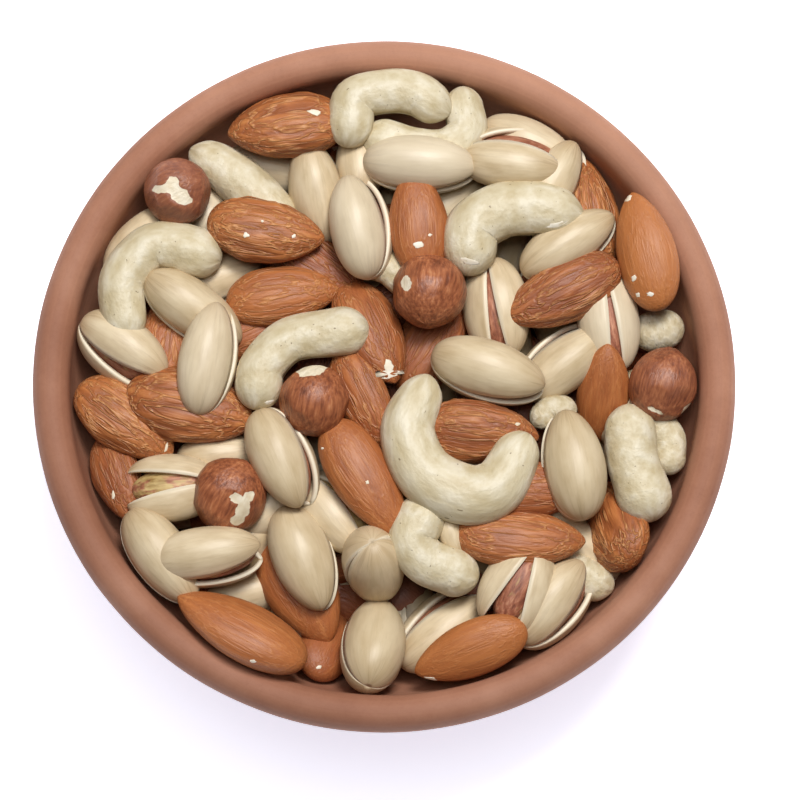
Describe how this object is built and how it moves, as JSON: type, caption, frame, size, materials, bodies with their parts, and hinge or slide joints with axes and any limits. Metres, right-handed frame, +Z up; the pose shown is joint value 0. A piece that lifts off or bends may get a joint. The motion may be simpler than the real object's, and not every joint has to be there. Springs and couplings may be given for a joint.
{
  "type": "bowl of mixed nuts",
  "caption": "Round unglazed clay bowl with a rolled lip, heaped with almonds, cashews, pistachios in their shells and hazelnuts.",
  "frame": {"origin": "centre of the bowl's flat base, on the surface that it stands on", "axes": "+Z up along the bowl's axis; +Y is the side away from the camera, +X its right"},
  "size_m": [0.132, 0.132, 0.0525],
  "materials": {
    "clay": "matte unglazed clay, reddish brown",
    "nuts": "dry nut skins and shells, from cream to dark brown"
  },
  "bodies": {
    "root": {"bowl": "clay", "nut_heap": "nuts"}
  },
  "joints": []
}
